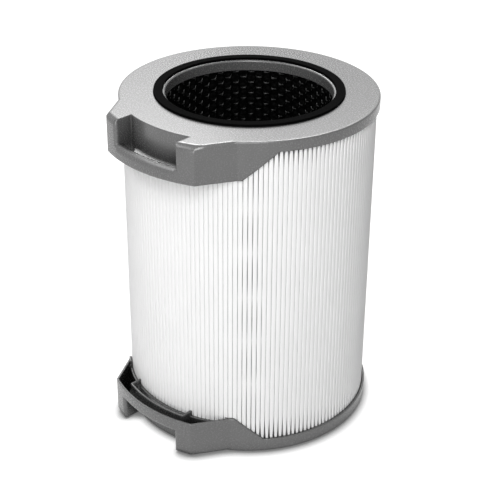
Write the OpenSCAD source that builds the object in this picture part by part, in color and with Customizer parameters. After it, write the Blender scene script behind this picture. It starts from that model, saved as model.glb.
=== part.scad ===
// Round replacement filter for an air purifier: a pleated paper cylinder around a
// bed of carbon, held between two moulded end caps. Each cap has a finger grip
// that stands out at one side. The grips face the front, which is -Y, and the
// origin is on the filter's axis, level with the lower cap's outer face.

/* [Overall] */
// Distance between the outer faces of the two cap plates
caps_apart = 266.6; // [180:0.2:340]
// Outer radius of a cap's round wall
cap_r = 100; // [95:0.5:115]
// How far the bottom cap sits turned from the top one, in degrees
bottom_turn = 3; // [0:0.5:6]

/* [Caps] */
// Thickness of a cap's plate
plate_t = 2; // [1.6:0.1:3]
// Thickness of a cap's round wall
wall_t = 2; // [1.4:0.1:2.6]
// Height of the top cap's round wall
top_skirt_h = 8.3; // [6:0.1:14]
// Height of the bottom cap's round wall
bottom_skirt_h = 10.6; // [6:0.1:14]
// Rounding of the plate's outer edge
plate_edge_r = 1; // [0.4:0.1:1.4]
// Thickness of the collar around the hole
collar_t = 1.8; // [1.4:0.1:2.4]
// Height of the collar, from the plate's outer face
collar_h = 8.3; // [6:0.1:14]
// Rounding of the collar's mouth
mouth_r = 1.3; // [0.5:0.1:1.3]

/* [Finger grips] */
// How far a grip's front wall stands out from the round wall
grip_out = 15.5; // [12.5:0.5:20]
// Height of a grip
grip_h = 30; // [28:0.5:40]
// Width of the front wall on each side of the finger pocket
land_w = 14.6; // [12:0.1:18]
// How much wider the grip is at the round wall than at its front, on each side
flare_w = 16; // [12:0.5:20]
// Thickness of a grip's walls
grip_wall = 1.5; // [1.2:0.1:1.8]
// Rounding of a grip's outer edges
grip_edge_r = 2.4; // [1:0.1:2.6]
// Half of the finger pocket's width, from its middle to a side wall
pocket_half_w = 30; // [24:0.5:32]
// Rounding of the pocket's upright front edges
pocket_edge_r = 2.4; // [0.5:0.1:2.6]
// Depth from the plate's face to the grip bar's crest
bar_drop = 19.5; // [17:0.1:20]
// Thickness of the grip bar, front to back
bar_depth = 9.5; // [8:0.1:10.5]
// Rounding of the grip bar's front edge
bar_edge_r = 2.2; // [1:0.1:2.4]
// How much lower the wall behind the pocket is than the grip
back_wall_drop = 4.4; // [2:0.1:8]
// Width of the full-height foot of a wing, in degrees
wing_foot_deg = 2.1; // [1:0.1:4]
// Width of the sloping part of a wing, in degrees
wing_slope_deg = 14.9; // [10:0.1:20]

/* [Gaskets] */
// Width of a foam gasket
gasket_w = 6.8; // [4:0.1:8]
// How far a gasket stands proud of the plate
gasket_proud = 1.8; // [1:0.1:3]
// Depth of the groove that holds a gasket
groove_d = 0.8; // [0.4:0.1:1]
// Gap between a gasket and each side of its groove
gasket_gap = 0.2; // [0.1:0.05:0.4]

/* [Pleated paper] */
// Distance from one pleat to the next, along the outer folds
pleat_pitch = 3.65; // [3.5:0.01:5]
// Depth of the pleats
pleat_depth = 16.2; // [10:0.1:16.8]
// Thickness of the paper
paper_t = 0.5; // [0.4:0.02:0.56]
// Half width of a pleat's rounded outer fold
outer_fold_r = 1.05; // [0.8:0.01:1.1]
// Half width of the gap at the foot of each valley
valley_r = 0.35; // [0.2:0.01:0.45]
// Gap between the paper and a cap's round wall
paper_gap = 0.3; // [0.2:0.05:0.8]

/* [Core] */
// Thickness of the carbon bed
bed_t = 12.4; // [8:0.1:20]
// Thickness of the glue layer in each cap
glue_t = 3; // [2:0.1:4]
// Thickness of the inner cage's wall
cage_t = 1.5; // [1:0.1:2.4]
// Number of columns of windows in the cage, an even number
cage_cols = 16; // [12:2:18]
// Number of windows in each column
cage_rows = 6; // [4:1:6]
// Width of the bars between the cage's windows
cage_bar = 4.2; // [3:0.1:8]
// Thickness of the sleeve around the carbon bed
sleeve_t = 1; // [0.6:0.1:2]
// Gap between one layer of the core and the next
layer_gap = 0.1; // [0.1:0.05:0.2]

/* [Hidden] */
$fn = 128;
// facets of the small roundings
small_fn = 32;
// extra reach of a cutting solid past the face that it cuts
past = 1;
// heights of the glue layers' inner faces, between which the core stands
core_low_z = plate_t + glue_t;
core_high_z = caps_apart - plate_t - glue_t;
core_h = core_high_z - core_low_z;
// radii, worked out from the round wall inwards, layer by layer
wall_in_r = cap_r - wall_t;
paper_out_r = wall_in_r - paper_gap;
paper_in_r = paper_out_r - pleat_depth;
sleeve_out_r = paper_in_r - layer_gap;
sleeve_in_r = sleeve_out_r - sleeve_t;
bed_out_r = sleeve_in_r - layer_gap;
bed_in_r = bed_out_r - bed_t;
cage_out_r = bed_in_r - layer_gap;
cage_in_r = cage_out_r - cage_t;
collar_r = cage_in_r - layer_gap;
hole_r = collar_r - collar_t;
groove_out_r = collar_r + gasket_w + 2 * gasket_gap;
pleats = floor(2 * PI * paper_out_r / pleat_pitch);
// the grip's front, and how wide it is there and at the round wall
grip_r = cap_r + grip_out;
corner_y = pocket_half_w + land_w;
root_y = corner_y + flare_w;
root_half_deg = asin(root_y / cap_r);
back_wall_h = grip_h - back_wall_drop;
// the grip's side walls: a straight line from the front corner to the root
corner = [sqrt(grip_r ^ 2 - corner_y ^ 2), corner_y];
root = [cap_r * cos(root_half_deg), root_y];
side_normal_deg = atan2(corner.x - root.x, root.y - corner.y);
side_reach = corner.x * cos(side_normal_deg) + corner.y * sin(side_normal_deg);
// the grip bar in section, radius across and height up
bar_in_r = grip_r - bar_depth;
bar_crest_r = grip_r - bar_edge_r;
bar_back_r = bar_crest_r - bar_in_r;
bar_back_z = -bar_drop - bar_back_r;
bar_inner_r = bar_back_r - grip_wall;
// how far a rounding's circle laps over the two walls that it joins
edge_lap = 0.02;
// middle of the rounding of the pocket's front edges
edge_mid_y = pocket_half_w + pocket_edge_r;
edge_mid_x = sqrt((grip_r - pocket_edge_r) ^ 2 - edge_mid_y ^ 2);
edge_mid_deg = atan2(edge_mid_y, edge_mid_x);
// angles of the wings, from the grip's middle
wing_foot_end = root_half_deg + wing_foot_deg;
wing_end = wing_foot_end + wing_slope_deg;
wing_mid = (root_half_deg + wing_end) / 2;
// the cage's windows
cage_pitch_deg = 360 / cage_cols;
cage_pitch = cage_out_r * 2 * PI / cage_cols;
cage_row_h = (core_h - cage_bar) / (cage_rows + 0.5);
window_h = cage_row_h - cage_bar;
window_w = cage_pitch * 4 / 3 - cage_bar;

module ring(in_r, out_r, z, h) {
    translate([0, 0, z])
        difference() {
            cylinder(r = out_r, h = h);
            translate([0, 0, -past])
                cylinder(r = in_r, h = h + 2 * past);
        }
}

// a flat wedge of the given half angle, pointing along +X
module wedge(half_deg, reach) {
    polygon([[0, 0], [reach, -reach * tan(half_deg)], [reach, reach * tan(half_deg)]]);
}

// section of a slab under z = 0 whose far upper corner is rounded
module rounded_slab(near, far, h, edge) {
    translate([near, -h])
        square([far - near - edge, h]);
    translate([near, -h])
        square([far - near, h - edge]);
    translate([far - edge, -edge])
        circle(r = edge, $fn = small_fn);
}

// the cap's turned body: plate, collar with a rounded mouth, and round wall
module cap_ring(skirt_h) {
    difference() {
        union() {
            rotate_extrude()
                rounded_slab(hole_r, cap_r, plate_t, plate_edge_r);
            ring(wall_in_r, cap_r, -skirt_h, skirt_h - plate_edge_r);
            ring(hole_r, collar_r, -collar_h, collar_h - mouth_r);
        }
        rotate_extrude()
            difference() {
                translate([hole_r - past, -mouth_r])
                    square([mouth_r + past, mouth_r + past]);
                translate([hole_r + mouth_r, -mouth_r])
                    circle(r = mouth_r, $fn = small_fn);
            }
        ring(collar_r, groove_out_r, -groove_d, groove_d + past);
    }
}

// the grip's outline, set in from the outside, from z = -h up to z = 0
module grip_block(inset, h, edge) {
    intersection() {
        rotate_extrude()
            rounded_slab(wall_in_r, grip_r - inset, h, edge);
        translate([0, 0, -h])
            linear_extrude(h)
                wedge(wing_foot_end, grip_r + past);
        grip_side(-1, inset, h, edge);
        grip_side(1, inset, h, edge);
    }
}

// half space behind one of the grip's side walls, with its upper edge rounded
module grip_side(side, inset, h, edge) {
    rotate([0, 0, side * side_normal_deg])
        translate([0, grip_r, 0])
            rotate([90, 0, 0])
                linear_extrude(2 * grip_r)
                    rounded_slab(-grip_r, side_reach - inset, h, edge);
}

// everything within a distance to both sides of the grip's middle, outside a radius
module middle_slab(half_w, in_r, z, h) {
    translate([0, 0, z])
        linear_extrude(h)
            difference() {
                translate([0, -half_w])
                    square([grip_r + past, 2 * half_w]);
                circle(r = in_r);
            }
}

// rounds one upright front edge of the pocket
module pocket_edge() {
    reach = pocket_edge_r + 2 * past;
    depth = bar_drop + bar_edge_r / 2;
    translate([edge_mid_x, edge_mid_y, -depth])
        linear_extrude(depth + past)
            difference() {
                polygon([[0, 0], [0, -reach], [reach, -reach],
                    [reach * cos(edge_mid_deg), reach * sin(edge_mid_deg)]]);
                circle(r = pocket_edge_r + edge_lap, $fn = small_fn);
            }
}

// section of the grip bar, which is open below and has a rounded back
module bar_section() {
    translate([bar_in_r, -grip_h])
        square([bar_depth, grip_h + bar_back_z]);
    translate([bar_crest_r, -grip_h])
        square([bar_edge_r, grip_h - bar_drop - bar_edge_r]);
    translate([bar_crest_r, -bar_drop - bar_edge_r])
        circle(r = bar_edge_r, $fn = small_fn);
    intersection() {
        translate([bar_crest_r, bar_back_z])
            circle(r = bar_back_r, $fn = small_fn);
        translate([bar_in_r, bar_back_z])
            square([bar_back_r, bar_back_r]);
    }
}

// section of the hollow in the grip bar
module bar_hollow() {
    translate([bar_in_r + grip_wall, -grip_h - past])
        square([bar_depth - 2 * grip_wall, grip_h + past + bar_back_z]);
    intersection() {
        translate([bar_crest_r, bar_back_z])
            circle(r = bar_inner_r, $fn = small_fn);
        translate([bar_in_r, bar_back_z])
            square([bar_depth - grip_wall, bar_back_r]);
    }
}

// a section turned around the axis, kept within a distance of the grip's middle
module middle_sweep(half_w) {
    intersection() {
        rotate_extrude()
            children();
        middle_slab(half_w, cap_r, -grip_h - past, grip_h);
    }
}

// the tall round wall behind the grip, and the wings that slope down to the low one
module tall_wall() {
    intersection() {
        ring(wall_in_r, cap_r, -back_wall_h, back_wall_h - plate_t / 2);
        translate([0, 0, -back_wall_h])
            linear_extrude(back_wall_h)
                wedge(root_half_deg, cap_r + past);
    }
    for (side = [-1, 1])
        intersection() {
            ring(wall_in_r, cap_r, -grip_h, grip_h - plate_t / 2);
            rotate([0, 0, side * wing_mid])
                mirror([0, side > 0 ? 0 : 1, 0])
                    wing_cut();
        }
}

// outline of a wing, cut square through the wall at the wing's middle
module wing_cut() {
    start = wall_in_r * tan(root_half_deg - wing_foot_deg - wing_mid);
    foot = cap_r * tan(wing_foot_end - wing_mid);
    end = cap_r * tan(wing_end - wing_mid);
    rotate([90, 0, 90])
        translate([0, 0, hole_r])
            linear_extrude(cap_r)
                polygon([[start, 0], [start, -grip_h], [foot, -grip_h], [end, -top_skirt_h], [end, 0]]);
}

// the grip's shell: front and side walls under a plate, with nothing behind them
module grip_shell() {
    difference() {
        grip_block(0, grip_h, grip_edge_r);
        difference() {
            grip_block(grip_wall, grip_h + past, grip_edge_r);
            translate([0, 0, -plate_t])
                cylinder(r = grip_r + past, h = plate_t + past);
        }
        translate([0, 0, -grip_h - past])
            cylinder(r = cap_r, h = back_wall_drop + past);
    }
}

// walls on both sides of the pocket, as deep as the grip
module pocket_walls() {
    intersection() {
        grip_block(0, grip_h, grip_edge_r);
        difference() {
            middle_slab(pocket_half_w + grip_wall, wall_in_r, -grip_h, grip_h);
            middle_slab(pocket_half_w, wall_in_r, -grip_h - past, grip_h + 2 * past);
        }
    }
}

// a cap with its plate's outer face at z = 0 and its grip along +X
module cap(skirt_h) {
    difference() {
        union() {
            grip_shell();
            pocket_walls();
            cap_ring(skirt_h);
            tall_wall();
        }
        middle_slab(pocket_half_w, cap_r, -grip_h - past, grip_h + 2 * past);
        middle_sweep(pocket_half_w + grip_wall + past)
            bar_hollow();
        pocket_edge();
        mirror([0, 1, 0])
            pocket_edge();
    }
    middle_sweep(pocket_half_w + grip_wall)
        difference() {
            bar_section();
            bar_hollow();
        }
}

module top_cap() {
    color("darkgray")
        translate([0, 0, caps_apart])
            rotate([0, 0, -90])
                cap(top_skirt_h);
}

module bottom_cap() {
    color("darkgray")
        rotate([0, 0, -90 - bottom_turn])
            mirror([0, 0, 1])
                cap(bottom_skirt_h);
}

module gasket(z) {
    ring(collar_r + gasket_gap, collar_r + gasket_gap + gasket_w, z, groove_d + gasket_proud);
}

module top_gasket() {
    color("black")
        gasket(caps_apart - groove_d);
}

module bottom_gasket() {
    color("black")
        gasket(-gasket_proud);
}

// a point at a distance from the axis and sideways from the line at an angle
function polar(deg, out, aside) = [out * cos(deg) - aside * sin(deg), out * sin(deg) + aside * cos(deg)];

// outline of the folded sheet on one side of the paper: a tip that turns in
// tip_steps equal steps, then a valley that turns in valley_steps
function fold_line(tip_r, tip_out, foot_r, foot_out, tip_steps, valley_steps) = [
    for (i = [0:pleats - 1])
        let (deg = 360 * i / pleats, next = 360 * (i + 0.5) / pleats)
            each concat(
                [for (k = [0:tip_steps])
                    let (turn = -90 + 180 * k / tip_steps)
                        polar(deg, tip_out - tip_r + tip_r * cos(turn), tip_r * sin(turn))],
                [for (k = [0:valley_steps])
                    let (turn = -90 + 180 * k / valley_steps)
                        polar(next, foot_out + foot_r - foot_r * cos(turn), foot_r * sin(turn))])
];

module pleated_media() {
    color("white")
        translate([0, 0, core_low_z])
            linear_extrude(core_h)
                difference() {
                    polygon(fold_line(outer_fold_r, paper_out_r, valley_r, paper_in_r + paper_t, 4, 1));
                    polygon(fold_line(outer_fold_r - paper_t, paper_out_r - paper_t,
                        valley_r + paper_t, paper_in_r, 1, 2));
                }
}

// a six-sided window with its points to the sides, cut outwards from the axis
module cage_window(deg, z) {
    translate([0, 0, z])
        rotate([90, 0, deg + 90])
            linear_extrude(cage_out_r + past)
                polygon([[-window_w / 2, 0], [-window_w / 4, -window_h / 2], [window_w / 4, -window_h / 2],
                    [window_w / 2, 0], [window_w / 4, window_h / 2], [-window_w / 4, window_h / 2]]);
}

module inner_cage() {
    color("dimgray")
        difference() {
            ring(cage_in_r, cage_out_r, core_low_z, core_h);
            for (col = [0:cage_cols - 1], row = [0:cage_rows - 1])
                cage_window(col * cage_pitch_deg,
                    core_low_z + cage_bar + window_h / 2 + (row + (col % 2) / 2) * cage_row_h);
        }
}

module carbon_bed() {
    color("black")
        ring(bed_in_r, bed_out_r, core_low_z, core_h);
}

module outer_sleeve() {
    color("gainsboro")
        ring(sleeve_in_r, sleeve_out_r, core_low_z, core_h);
}

module glue_layer(z) {
    ring(collar_r + layer_gap, wall_in_r - layer_gap, z, glue_t);
}

module top_glue() {
    color("ivory")
        glue_layer(core_high_z);
}

module bottom_glue() {
    color("ivory")
        glue_layer(plate_t);
}

top_cap();
bottom_cap();
top_gasket();
bottom_gasket();
pleated_media();
inner_cage();
carbon_bed();
outer_sleeve();
top_glue();
bottom_glue();
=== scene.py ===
import math
import random
import bpy
from mathutils import Matrix, Vector

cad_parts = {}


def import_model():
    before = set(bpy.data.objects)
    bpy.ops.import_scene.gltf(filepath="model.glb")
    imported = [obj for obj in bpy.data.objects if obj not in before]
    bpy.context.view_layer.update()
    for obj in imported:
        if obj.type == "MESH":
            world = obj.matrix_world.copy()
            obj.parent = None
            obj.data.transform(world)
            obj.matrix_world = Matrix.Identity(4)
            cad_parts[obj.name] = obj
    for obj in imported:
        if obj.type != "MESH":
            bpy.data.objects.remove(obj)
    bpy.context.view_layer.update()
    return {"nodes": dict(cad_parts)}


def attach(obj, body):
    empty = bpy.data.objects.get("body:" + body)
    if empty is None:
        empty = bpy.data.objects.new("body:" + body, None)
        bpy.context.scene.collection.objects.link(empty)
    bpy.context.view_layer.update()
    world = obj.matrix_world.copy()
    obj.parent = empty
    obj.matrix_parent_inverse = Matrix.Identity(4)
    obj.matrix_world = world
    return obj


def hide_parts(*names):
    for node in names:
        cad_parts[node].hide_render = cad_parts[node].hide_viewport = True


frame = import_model()
nodes = frame["nodes"]
random.seed(24)

# Metres. The origin is on the filter's axis, level with the outer face of the lower cap's plate.
MIDDLE_Z = 0.1333                      # half way between the outer faces of the two plates
FLOOR_Z = -0.0018                      # the lower gasket stands on the floor
CORE_LOW, CORE_HIGH = 0.0050, 0.2616   # ends of the paper and the net, in the cast glue
WALL_LOW, WALL_HIGH = 0.0106, 0.2583   # edges of the caps' round walls, where the paper shows
PAPER_OUT_R = 0.0977
CAGE_R = 0.0663
GRIP_R = 0.1155                        # front of both grips
BAR_LEVEL = 0.1138                     # crest of the grip's bar, from the middle
BAR_MARGIN = 0.0040                    # and how far above it the shading still takes it for bar
BAR_HALF_W, BAR_BACK_Y = 0.0297, -0.104
SOFT_R = 0.0055                        # broad rounding along the grips' front edges
CAMERA_AZIMUTH = -48.0                 # degrees


# ---------------------------------------------------------------- node helpers
def material(name):
    mat = bpy.data.materials.new(name)
    mat.use_nodes = True
    return mat, mat.node_tree, mat.node_tree.nodes["Principled BSDF"]


def node(tree, kind, **values):
    n = tree.nodes.new(kind)
    for key, value in values.items():
        setattr(n, key, value)
    return n


def fill(tree, target, **values):
    """Sets a node's inputs. Each value is a socket to link or a number; _ stands for a space."""
    for key, value in values.items():
        socket = target.inputs[key.replace("_", " ")]
        if isinstance(value, (int, float, tuple)):
            socket.default_value = value
        else:
            tree.links.new(value, socket)
    return target


def coords(tree, scale=(1, 1, 1)):
    tex = node(tree, "ShaderNodeTexCoord")
    mapping = node(tree, "ShaderNodeMapping")
    return fill(tree, mapping, Scale=scale, Vector=tex.outputs["Object"]).outputs["Vector"]


def noise(tree, vector, scale, detail=3.0, rough=0.5):
    n = node(tree, "ShaderNodeTexNoise")
    return fill(tree, n, Vector=vector, Scale=scale, Detail=detail, Roughness=rough).outputs["Fac"]


def cells(tree, vector, scale):
    n = node(tree, "ShaderNodeTexVoronoi")
    return fill(tree, n, Vector=vector, Scale=scale).outputs["Distance"]


def ramp(tree, value, low, high, start=0.3, end=0.7):
    """A value from start to end becomes one from low to high."""
    r = fill(tree, node(tree, "ShaderNodeMapRange"), Value=value,
             From_Min=start, From_Max=end, To_Min=low, To_Max=high)
    return r.outputs["Result"]


def grey(tree, value):
    c = node(tree, "ShaderNodeCombineColor")
    return fill(tree, c, Red=value, Green=value, Blue=value).outputs["Color"]


def bump(tree, height, strength, distance, normal=None):
    b = fill(tree, node(tree, "ShaderNodeBump"), Height=height, Strength=strength,
             Distance=distance)
    if normal is not None:
        fill(tree, b, Normal=normal)
    return b.outputs["Normal"]


def op(tree, operation, first, second=None):
    """A Math node; each value is a socket or a number."""
    m = node(tree, "ShaderNodeMath", operation=operation)
    for k, value in enumerate((first, second)):
        if isinstance(value, (int, float)):
            m.inputs[k].default_value = value
        elif value is not None:
            tree.links.new(value, m.inputs[k])
    return m.outputs[0]


def product(tree, *values):
    total = values[0]
    for value in values[1:]:
        total = op(tree, "MULTIPLY", total, value)
    return total


def vec(tree, operation, first, second=None, output="Vector"):
    m = node(tree, "ShaderNodeVectorMath", operation=operation)
    tree.links.new(first, m.inputs[0])
    if second is not None:
        tree.links.new(second, m.inputs["Scale" if operation == "SCALE" else 1])
    return m.outputs[output]


def openness(tree, distance):
    """How much of what is above the surface is open within a distance, from 0 to 1."""
    a = node(tree, "ShaderNodeAmbientOcclusion", samples=12)
    return fill(tree, a, Distance=distance).outputs["AO"]


def rounded(tree, radius):
    return fill(tree, node(tree, "ShaderNodeBevel", samples=8), Radius=radius).outputs["Normal"]


def mixed(tree, share, first, second):
    """Two shaders, with a share of the second."""
    mix = node(tree, "ShaderNodeMixShader")
    for k, value in ((1, first), (2, second)):
        tree.links.new(value.outputs[0], mix.inputs[k])
    if isinstance(share, float):
        mix.inputs[0].default_value = share
    else:
        tree.links.new(share, mix.inputs[0])
    tree.links.new(mix.outputs[0], tree.nodes["Material Output"].inputs["Surface"])


def seen_rays(tree, *more):
    """1 for what the camera, a reflection or a further kind of ray sees, 0 for other light."""
    path = node(tree, "ShaderNodeLightPath")
    seen = op(tree, "MAXIMUM", path.outputs["Is Camera Ray"], path.outputs["Is Glossy Ray"])
    for kind in more:
        seen = op(tree, "MAXIMUM", seen, path.outputs[kind])
    return seen


# ------------------------------------------------------------------- materials
def moulded_edges(tree, vector):
    """Normals of a cap: small roundings at the collar, wide ones on the grips' front edges.

    Within SOFT_R of the front edge of a land, or of the upper bar's crest, the normal turns
    from its own face towards the corner between the front and the top.
    """
    x, y, z = fill(tree, node(tree, "ShaderNodeSeparateXYZ"), Vector=vector).outputs
    flat = fill(tree, node(tree, "ShaderNodeCombineXYZ"), X=x, Y=y).outputs[0]
    radius = vec(tree, "LENGTH", flat, output="Value")
    outward = vec(tree, "NORMALIZE", flat)
    off = op(tree, "SUBTRACT", z, MIDDLE_Z)
    level = op(tree, "ABSOLUTE", off)

    bar = product(tree,
                  op(tree, "LESS_THAN", op(tree, "ABSOLUTE", x), BAR_HALF_W),
                  op(tree, "LESS_THAN", level, BAR_LEVEL + BAR_MARGIN),
                  op(tree, "LESS_THAN", y, BAR_BACK_Y),
                  op(tree, "GREATER_THAN", z, MIDDLE_Z))
    small = ramp(tree, radius, 0.0005, 0.0020, 0.076, 0.080)
    not_bar = ramp(tree, bar, 1.0, 0.0, 0.0, 1.0)
    normal = rounded(tree, product(tree, small, not_bar))

    at_front = ramp(tree, radius, 0.0, 1.0, GRIP_R - SOFT_R, GRIP_R)
    at_plate = ramp(tree, level, 0.0, 1.0, MIDDLE_Z - SOFT_R, MIDDLE_Z)
    at_crest = product(tree, bar, ramp(tree, level, 0.0, 1.0, BAR_LEVEL - SOFT_R, BAR_LEVEL))
    up = fill(tree, node(tree, "ShaderNodeCombineXYZ"), Z=op(tree, "SIGN", off)).outputs[0]
    corner = vec(tree, "ADD", outward, up)
    facing = fill(tree, node(tree, "ShaderNodeClamp"),
                  Value=vec(tree, "DOT_PRODUCT", normal, corner, "Value")).outputs[0]
    share = product(tree, at_front, op(tree, "MAXIMUM", at_plate, at_crest), facing)
    turn = vec(tree, "SCALE", vec(tree, "SUBTRACT", corner, normal), share)
    return vec(tree, "NORMALIZE", vec(tree, "ADD", normal, turn))


def cap_plastic():
    mat, tree, s = material("cap_plastic")
    v = coords(tree)
    tone = ramp(tree, noise(tree, v, 60.0, 4.0), 0.096, 0.106)
    # Painted shade: the plastic's colour darkens, down to an eighth, where the surface is closed
    # in within 3 cm, as in the troughs, corners and the grip's pocket.
    painted_shade = ramp(tree, openness(tree, 0.03), 0.12, 1.0, 0.13, 0.72)
    fill(tree, s,
         Base_Color=grey(tree, product(tree, tone, painted_shade)),
         Roughness=ramp(tree, noise(tree, v, 900.0, 3.0), 0.267, 0.277),
         Specular_IOR_Level=0.82,
         Normal=bump(tree, noise(tree, v, 2600.0, 2.0), 0.010, 0.0001, moulded_edges(tree, v)))
    return mat


def foam():
    mat, tree, s = material("gasket_foam")
    pores = cells(tree, coords(tree), 1800.0)
    # The pores are pits in the bump, and their colour is darker at their middles: painted shade in
    # the pits.
    fill(tree, s,
         Base_Color=grey(tree, ramp(tree, pores, 0.0008, 0.0026, 0.1, 0.7)),
         Roughness=0.9,
         Specular_IOR_Level=0.015,
         Normal=bump(tree, pores, 0.5, 0.0002, rounded(tree, 0.0006)))
    return mat


def filter_paper():
    mat, tree, s = material("filter_paper")
    v = coords(tree)
    fibres = noise(tree, v, 3800.0, 4.0, 0.6)
    tone = op(tree, "ADD", ramp(tree, noise(tree, v, 25.0, 2.0), 0.925, 0.95),
              ramp(tree, fibres, -0.008, 0.008))
    # Painted shade: the paper's colour darkens where it is closed in within 5 mm, deep in the
    # valleys between the folds and in the wedges by the caps.
    painted_shade = ramp(tree, openness(tree, 0.005), 0.08, 1.0, 0.03, 0.33)
    fill(tree, s,
         Base_Color=grey(tree, product(tree, tone, painted_shade)),
         Roughness=0.9,
         Specular_IOR_Level=0.2,
         Normal=bump(tree, fibres, 0.10, 0.00005))
    through = fill(tree, node(tree, "ShaderNodeBsdfTranslucent"), Color=(0.92, 0.92, 0.92, 1))
    mixed(tree, 0.08, s, through)
    return mat


def black_net():
    mat, tree, s = material("cage_plastic")
    v = coords(tree)
    fill(tree, s,
         Base_Color=grey(tree, ramp(tree, noise(tree, v, 300.0), 0.0006, 0.0016)),
         Roughness=ramp(tree, noise(tree, v, 500.0), 0.09, 0.14),
         Specular_IOR_Level=0.2,
         Normal=bump(tree, noise(tree, v, 900.0), 0.2, 0.0002))
    return mat


def carbon():
    mat, tree, s = material("carbon_pellets")
    pellets = cells(tree, coords(tree), 300.0)
    # The pellets are domed by the bump, and their colour is darker towards their edges: painted
    # shade in the seams between them.
    fill(tree, s,
         Base_Color=grey(tree, ramp(tree, pellets, 0.0022, 0.0008, 0.0, 0.6)),
         Roughness=0.7,
         Specular_IOR_Level=0.04,
         Normal=bump(tree, pellets, 0.9, -0.002))
    return mat


def fleece():
    mat, tree, s = material("sleeve_fleece")
    fibres = noise(tree, coords(tree, (1, 1, 0.4)), 1200.0, 5.0, 0.7)
    fill(tree, s,
         Base_Color=grey(tree, ramp(tree, fibres, 0.70, 0.84)),
         Roughness=0.95,
         Normal=bump(tree, fibres, 0.5, 0.0003))
    return mat


def glue():
    mat, tree, s = material("cast_glue")
    v = coords(tree)
    fill(tree, s,
         Base_Color=grey(tree, ramp(tree, noise(tree, v, 120.0), 0.70, 0.76)),
         Roughness=ramp(tree, noise(tree, v, 200.0), 0.3, 0.45),
         Normal=bump(tree, noise(tree, v, 90.0), 0.3, 0.0005))
    return mat


PLASTIC, FOAM, PAPER, NET = cap_plastic(), foam(), filter_paper(), black_net()
CARBON, FLEECE, GLUE = carbon(), fleece(), glue()

for name, mat in {"top_cap": PLASTIC, "bottom_cap": PLASTIC,
                  "top_gasket": FOAM, "bottom_gasket": FOAM,
                  "pleated_media": PAPER, "inner_cage": NET, "carbon_bed": CARBON,
                  "outer_sleeve": FLEECE, "top_glue": GLUE, "bottom_glue": GLUE}.items():
    mesh = nodes[name].data
    mesh.materials.clear()
    mesh.materials.append(mat)


# ---------------------------------------------------------------------- pieces
def mesh_object(name, verts, faces, mat):
    mesh = bpy.data.meshes.new(name)
    mesh.from_pydata(verts, [], faces)
    mesh.materials.append(mat)
    obj = bpy.data.objects.new(name, mesh)
    bpy.context.scene.collection.objects.link(obj)
    return obj


def piece(name, verts, faces, mat):
    obj = mesh_object(name, verts, faces, mat)
    obj.data.validate()
    for p in obj.data.polygons:
        p.use_smooth = True
    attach(obj, "root")
    return obj


FOLDS = 168
BEADS = [0.0622, 0.1021, 0.1396, 0.1773, 0.2137]   # heights of the rows of hot glue
BEAD_HALF_H = 0.0015
BEAD_DEPTH = 0.75                                  # mm, of the valleys where glue fills them
VALLEY_DEPTH = 13.0                                # mm
LOOSE_AZIMUTH, LOOSE_SPREAD = -47.0, 5.0           # degrees, where folds stand further apart
WEDGE_LOW_H, WEDGE_HIGH_H = 0.022, 0.018           # wedges between the folds, at the two caps
# Gaps between the tips in mm: at a bead, what a bay and the loose place add, and in a wedge.
GAP, GAP_BAY, GAP_LOOSE, GAP_WEDGE = 0.03, 0.085, 0.40, (0.06, 1.7)
# Across half of a fold's tip: share of its half width, and depth below the crest in mm.
TIP = [(0.45, 0.02), (0.76, 0.10), (0.93, 0.30), (1.0, 0.9)]
SECTION = ([(-1.0, VALLEY_DEPTH)] + [(-t, depth) for t, depth in reversed(TIP)]
           + TIP + [(1.0, VALLEY_DEPTH)])


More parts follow.
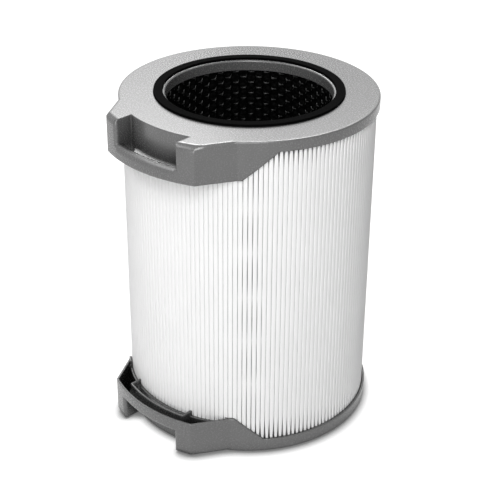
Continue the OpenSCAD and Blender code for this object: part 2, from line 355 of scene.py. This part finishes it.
def pleats():
    """One folded sheet: broad round tips, and valleys that open between the beads of hot glue."""
    stops = [CORE_LOW] + BEADS + [CORE_HIGH]
    rows = [CORE_LOW]
    rows += [WALL_LOW + step for step in (0, 0.0025, 0.005, 0.008, 0.011, 0.015, 0.020)]
    for low, high in zip(stops, stops[1:]):
        rows += [low + f * (high - low) for f in (0.25, 0.5, 0.75)]
    for z in BEADS:
        rows += [z - 0.0016, z - 0.0007, z + 0.0007, z + 0.0016]
    rows += [WALL_HIGH - step for step in (0.014, 0.010, 0.006, 0.003, 0)] + [CORE_HIGH]
    rows.sort()

    pitch = 2 * math.pi / FOLDS
    bays = len(stops) - 1
    wide = [[random.uniform(0.20, 1.0) ** 1.3 for _ in range(bays)] for _ in range(FOLDS)]
    loose = []
    for i in range(FOLDS):
        away = ((i + 0.5) * 360 / FOLDS - LOOSE_AZIMUTH + 180) % 360 - 180
        loose.append(math.exp(-(away / LOOSE_SPREAD) ** 2))
    aside = [random.uniform(-0.015, 0.015) for _ in range(FOLDS)]

    verts, faces = [], []
    for z in rows:
        bay = min(sum(z > stop for stop in stops[1:-1]), bays - 1)
        low, high = stops[bay], stops[bay + 1]
        swell = math.sin(math.pi * (z - low) / (high - low))
        bead = max(0.0, 1.0 - min(abs(z - g) for g in BEADS) / BEAD_HALF_H)
        end = max(0.0, 1 - (z - WALL_LOW) / WEDGE_LOW_H, 1 - (WALL_HIGH - z) / WEDGE_HIGH_H)
        wedge = GAP_WEDGE[0] + GAP_WEDGE[1] * min(1.0, end) ** 1.6
        half_gap, mid = [], []
        for i in range(FOLDS):
            gap = GAP + (GAP_BAY * wide[i][bay] + GAP_LOOSE * loose[i]) * swell
            half_gap.append(max(gap, wedge) * 0.0005 / PAPER_OUT_R)
            mid.append((i + 0.5 + aside[i] * swell) * pitch)
        for i in range(FOLDS):
            left = mid[i - 1] - (2 * math.pi if i == 0 else 0) + half_gap[i - 1]
            right = mid[i] - half_gap[i]
            centre, half = (left + right) / 2, (right - left) / 2
            for t, depth in SECTION:
                depth = depth * (1 - bead) + min(depth, BEAD_DEPTH) * bead
                r = PAPER_OUT_R - depth * 0.001
                angle = centre + t * half
                verts.append((r * math.cos(angle), r * math.sin(angle), z))
    ring = FOLDS * len(SECTION)
    for k in range(len(rows) - 1):
        for j in range(ring):
            p, q = k * ring + j, k * ring + (j + 1) % ring
            faces.append((p, q, q + ring, p + ring))
    obj = piece("folded_paper", verts, faces, PAPER)
    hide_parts("pleated_media")


def net():
    """Hexagonal net of black plastic on the inside of the carbon."""
    columns, row_h = 66, 0.0093
    # Across a rib, from its crest: share of the opening's size, and depth below the crest.
    rib = ((1.0, 0.0), (0.90, 0.00015), (0.80, 0.0006), (0.78, 0.0014))
    count = int((CORE_HIGH - CORE_LOW) / row_h) + 1
    step = 2 * math.pi / columns
    half = step * CAGE_R * 2 / 3
    hexagon = [(half, 0), (half / 2, row_h / 2), (-half / 2, row_h / 2),
               (-half, 0), (-half / 2, -row_h / 2), (half / 2, -row_h / 2)]
    verts, faces = [], []
    for c in range(columns):
        for k in range(-1, count + 1):
            z0 = CORE_LOW + (k + 0.5 * (c % 2)) * row_h + row_h / 2
            if z0 > CORE_HIGH + row_h / 2 or z0 < CORE_LOW - row_h / 2:
                continue
            base = len(verts)
            for scale, depth in rib:
                r = CAGE_R + 0.00005 + depth
                for x, z in hexagon:
                    a = c * step + x * scale / CAGE_R
                    zz = min(max(z0 + z * scale, CORE_LOW), CORE_HIGH)
                    verts.append((r * math.cos(a), r * math.sin(a), zz))
            for layer in range(len(rib) - 1):
                for side in range(6):
                    p, q = base + layer * 6 + side, base + layer * 6 + (side + 1) % 6
                    faces.append((p, p + 6, q + 6, q))
    obj = piece("inner_net", verts, faces, NET)
    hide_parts("inner_cage")


pleats()
net()


# ------------------------------------------------------------- floor and light
def floor():
    """A round floor: white where it is open, with a painted shadow where the object touches it,
    over the lamps' own faint shadow.
    """
    mat, tree, s = material("floor")
    tree.nodes.remove(s)
    bounce = fill(tree, node(tree, "ShaderNodeBsdfDiffuse"), Color=(0.60, 0.60, 0.60, 1))
    lit = fill(tree, node(tree, "ShaderNodeBsdfDiffuse"), Color=(0.25, 0.25, 0.25, 1))
    # The floor's white glow is dimmed where the floor is closed in within 1 cm: a painted contact
    # shadow around the object's foot.
    glow_with_painted_shadow = fill(tree, node(tree, "ShaderNodeEmission"),
                Strength=ramp(tree, openness(tree, 0.010), 0.12, 0.96, 0.45, 0.93))
    both = node(tree, "ShaderNodeAddShader")
    tree.links.new(lit.outputs[0], both.inputs[0])
    tree.links.new(glow_with_painted_shadow.outputs[0], both.inputs[1])
    mixed(tree, seen_rays(tree), bounce, both)
    sides, radius = 64, 3
    verts, faces = [(0, 0, FLOOR_Z)], []
    for k in range(sides):
        a = 2 * math.pi * k / sides
        verts.append((radius * math.cos(a), radius * math.sin(a), FLOOR_Z))
        faces.append((0, k + 1, (k + 1) % sides + 1))
    obj = mesh_object("floor", verts, faces, mat)


def world():
    """White to the camera, in reflections and through glass, and dim as light on the object."""
    w = bpy.data.worlds.new("studio")
    bpy.context.scene.world = w
    w.use_nodes = True
    tree = w.node_tree
    seen = seen_rays(tree, "Is Transmission Ray")
    fill(tree, tree.nodes["Background"], Color=(1, 1, 1, 1),
         Strength=ramp(tree, seen, 0.10, 1.0, 0.0, 1.0))


def lamp(name, place, aim, size, power):
    data = bpy.data.lights.new(name, "AREA")
    data.shape = "RECTANGLE"
    data.size, data.size_y = size
    data.energy = power
    obj = bpy.data.objects.new(name, data)
    obj.location = place
    obj.rotation_euler = (Vector(aim) - Vector(place)).to_track_quat("-Z", "Y").to_euler()
    bpy.context.scene.collection.objects.link(obj)


def round_about(azimuth, height, distance):
    """A place at an azimuth from the camera's own, positive to the right of the camera."""
    a = math.radians(CAMERA_AZIMUTH + azimuth)
    return (distance * math.cos(a), distance * math.sin(a), height)


floor()
world()
lamp("key", round_about(0, 1.3, 1.4), (0, 0, 0.13), (0.9, 0.9), 19.9)
lamp("low", round_about(-20, 0.35, 1.6), (0, 0, 0.13), (0.8, 0.6), 6.6)
lamp("back", round_about(180, 1.3, 1.0), (0, 0, 0.26), (0.9, 0.6), 21.5)
lamp("side", round_about(-76, 1.15, 0.9), (0, -0.1, 0.25), (1.1, 0.2), 3.6)
lamp("back_left", round_about(-160, 0.8, 0.9), (0, 0, 0.26), (0.6, 0.4), 1.5)


# ---------------------------------------------------------------------- camera
# Fitted to the ellipses of the caps, gasket and hole, and to the corners of the grips.
cam = bpy.data.cameras.new("camera")
cam.sensor_width = 36.0
cam.lens = 92.04
cam_obj = bpy.data.objects.new("camera", cam)
bpy.context.scene.collection.objects.link(cam_obj)
cam_obj.matrix_world = (Matrix.Translation((0.6130, -0.6808, 0.62349))
                        @ Matrix.Rotation(math.radians(41.907), 4, "Z")
                        @ Matrix.Rotation(math.radians(90 - 28.437), 4, "X")
                        @ Matrix.Rotation(math.radians(0.5089), 4, "Z"))
bpy.context.scene.camera = cam_obj
bpy.context.scene.view_settings.view_transform = "Standard"

bpy.context.view_layer.update()
